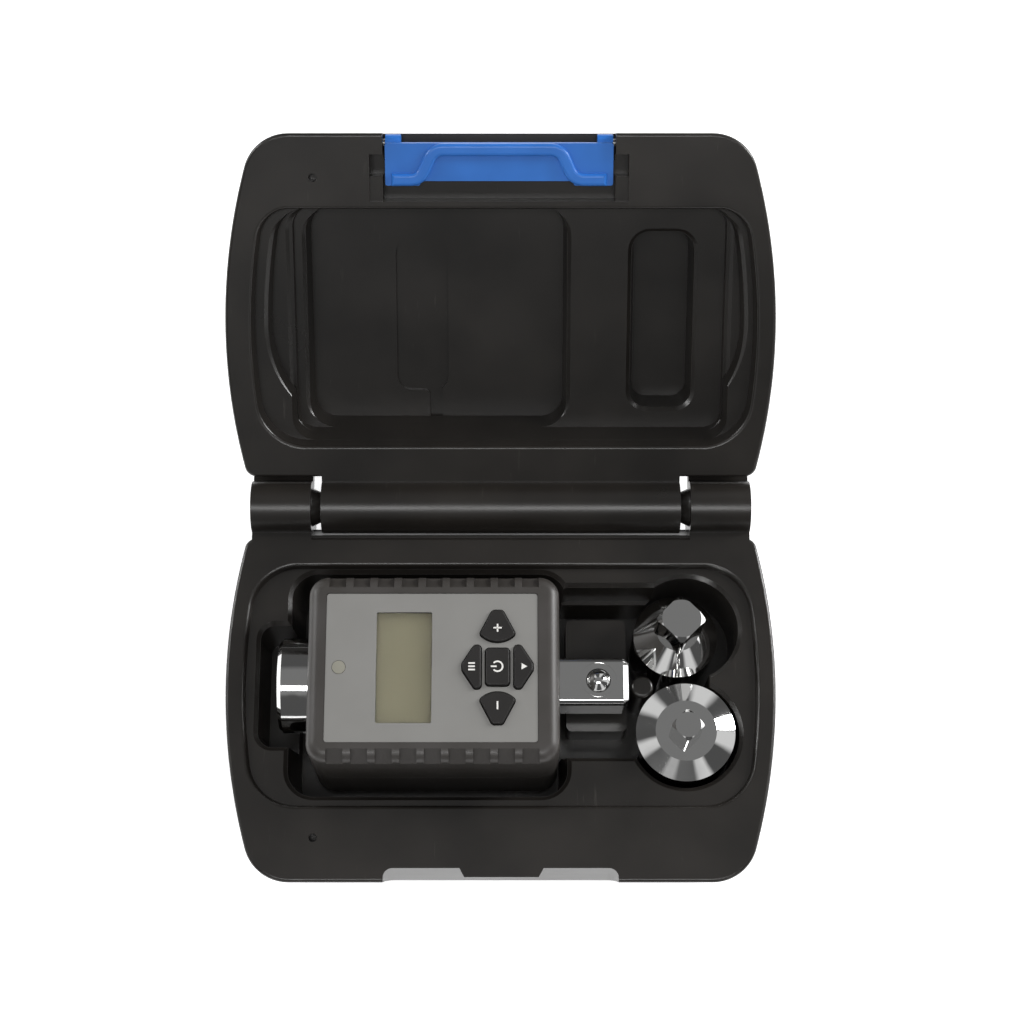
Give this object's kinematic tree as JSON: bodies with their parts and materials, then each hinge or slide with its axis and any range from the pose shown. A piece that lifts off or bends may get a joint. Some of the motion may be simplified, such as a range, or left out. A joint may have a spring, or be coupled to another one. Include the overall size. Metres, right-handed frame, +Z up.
{
  "type": "digital torque adapter kit",
  "caption": "Digital torque adapter in a black moulded case with a blue latch, lying beside step-down square drive adaptors in their wells.",
  "frame": {"origin": "centre of the case base's underside", "axes": "+X along the hinge towards the male square, +Y from the catch towards the hinge, +Z up out of the base"},
  "size_m": [0.1444, 0.1914, 0.0895],
  "materials": {
    "case_plastic": "satin",
    "latch_plastic": "satin",
    "housing_plastic": "satin",
    "panel_plastic": "satin",
    "window_plastic": "polished",
    "display_glass": "satin",
    "lamp_plastic": "satin",
    "key_rubber": "matte",
    "mat_rubber": "matte",
    "chrome_steel": "polished",
    "pin_steel": "satin",
    "spring_steel": "satin",
    "screw_steel": "satin",
    "board_laminate": "satin",
    "gauge_foil": "satin",
    "bush_plastic": "satin",
    "seal_rubber": "matte",
    "cell_jacket": "satin",
    "contact_brass": "satin"
  },
  "bodies": {
    "case": {"case_base": "case_plastic", "hinge_pins": "pin_steel"},
    "lid": {"case_lid": "case_plastic", "latch_pins": "pin_steel"},
    "snap_latch": {"latch": "latch_plastic"},
    "torque_adapter": {"housing_front": "housing_plastic", "housing_rear": "housing_plastic", "face_panel": "panel_plastic", "display_window": "window_plastic", "lcd_module": "display_glass", "status_lamp": "lamp_plastic", "drive_shaft": "chrome_steel", "drive_ball_spring": "spring_steel", "key_mat": "mat_rubber", "circuit_board": "board_laminate", "buzzer": "seal_rubber", "strain_gauges": "gauge_foil", "gauge_ribbon": "gauge_foil", "shaft_bushes": "bush_plastic", "seal_rings": "seal_rubber", "batteries": "cell_jacket", "battery_contacts": "contact_brass", "battery_cover": "housing_plastic", "battery_cover_screw": "screw_steel", "housing_screws": "screw_steel"},
    "key_plus_cap": {"key_plus": "key_rubber"},
    "key_minus_cap": {"key_minus": "key_rubber"},
    "key_power_cap": {"key_power": "key_rubber"},
    "key_left_cap": {"key_left": "key_rubber"},
    "key_right_cap": {"key_right": "key_rubber"},
    "drive_detent": {"drive_ball": "chrome_steel"},
    "three_eighths_adaptor": {"adaptor_three_eighths": "chrome_steel", "adaptor_three_eighths_ball_spring": "spring_steel"},
    "three_eighths_detent": {"adaptor_three_eighths_ball": "chrome_steel"},
    "quarter_adaptor": {"adaptor_quarter": "chrome_steel", "adaptor_quarter_ball_spring": "spring_steel"},
    "quarter_detent": {"adaptor_quarter_ball": "chrome_steel"}
  },
  "joints": [
    {"name": "lid_hinge", "type": "hinge", "parent": "case", "child": "lid", "pos_m": [0, 0.0544, 0.03], "axis": [-1, 0, 0], "range_deg": [-143.35, 0]},
    {"name": "latch_hinge", "type": "hinge", "parent": "lid", "child": "snap_latch", "pos_m": [0, 0.1358, 0.08309], "axis": [1, 0, 0], "range_deg": [-90, 0]},
    {"name": "adapter_lift_out", "type": "slide", "parent": "case", "child": "torque_adapter", "axis": [0, 0, 1], "range_m": [0, 0.04]},
    {"name": "key_plus_press", "type": "slide", "parent": "torque_adapter", "child": "key_plus_cap", "axis": [0, 0, -1], "range_m": [0, 0.0006], "stiffness_N_per_m": 400, "springref_m": -0.0005},
    {"name": "key_minus_press", "type": "slide", "parent": "torque_adapter", "child": "key_minus_cap", "axis": [0, 0, -1], "range_m": [0, 0.0006], "stiffness_N_per_m": 400, "springref_m": -0.0005},
    {"name": "key_power_press", "type": "slide", "parent": "torque_adapter", "child": "key_power_cap", "axis": [0, 0, -1], "range_m": [0, 0.0006], "stiffness_N_per_m": 400, "springref_m": -0.0005},
    {"name": "key_left_press", "type": "slide", "parent": "torque_adapter", "child": "key_left_cap", "axis": [0, 0, -1], "range_m": [0, 0.0006], "stiffness_N_per_m": 400, "springref_m": -0.0005},
    {"name": "key_right_press", "type": "slide", "parent": "torque_adapter", "child": "key_right_cap", "axis": [0, 0, -1], "range_m": [0, 0.0006], "stiffness_N_per_m": 400, "springref_m": -0.0005},
    {"name": "drive_detent_press", "type": "slide", "parent": "torque_adapter", "child": "drive_detent", "axis": [0, 0, -1], "range_m": [0, 0.0015], "stiffness_N_per_m": 800, "springref_m": -0.0005, "deforming": ["drive_ball_spring"]},
    {"name": "three_eighths_lift_out", "type": "slide", "parent": "case", "child": "three_eighths_adaptor", "axis": [0, 0, 1], "range_m": [0, 0.04]},
    {"name": "three_eighths_detent_press", "type": "slide", "parent": "three_eighths_adaptor", "child": "three_eighths_detent", "axis": [-0.7051, -0.7059, 0.068], "range_m": [0, 0.0008], "stiffness_N_per_m": 400, "springref_m": -0.0005, "deforming": ["adaptor_three_eighths_ball_spring"]},
    {"name": "quarter_lift_out", "type": "slide", "parent": "case", "child": "quarter_adaptor", "axis": [0, 0, 1], "range_m": [0, 0.04]},
    {"name": "quarter_detent_press", "type": "slide", "parent": "quarter_adaptor", "child": "quarter_detent", "axis": [-0.7071, -0.7071, 0], "range_m": [0, 0.0005], "stiffness_N_per_m": 400, "springref_m": -0.0005, "deforming": ["adaptor_quarter_ball_spring"]}
  ]
}
